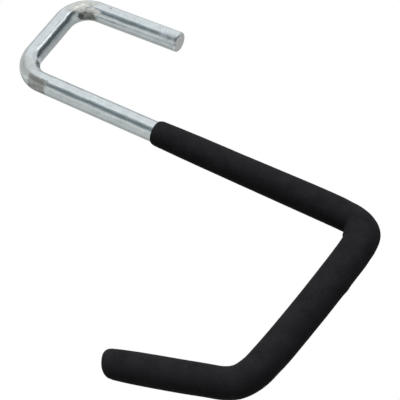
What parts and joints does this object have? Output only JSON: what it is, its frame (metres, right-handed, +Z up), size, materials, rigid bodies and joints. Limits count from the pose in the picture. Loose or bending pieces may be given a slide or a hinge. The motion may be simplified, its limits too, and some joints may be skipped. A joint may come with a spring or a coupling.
{
  "type": "rafter hook",
  "caption": "Bent steel rod hook that drops over a rafter, with a long shank and a wide upturned cradle dipped in black vinyl.",
  "frame": {"origin": "middle of the saddle: the underside of the crossbar, halfway between the shank and the short arm, where the hook bears on the top of the rafter", "axes": "+Z up as hung, the whole bend lies in the XZ plane, +X from the shank towards the short arm, so the cradle reaches out along -X, +Y across the rod"},
  "size_m": [0.1621, 0.0134, 0.1894],
  "materials": {
    "zinc_plated_steel": "bright zinc plate over drawn rod, cloudy, with faint draw marks and dulled bends",
    "black_vinyl": "satin dipped vinyl, almost black, faintly bluish where it catches light"
  },
  "bodies": {
    "root": {"steel_rod": "zinc_plated_steel", "vinyl_coat": "black_vinyl"}
  },
  "joints": []
}
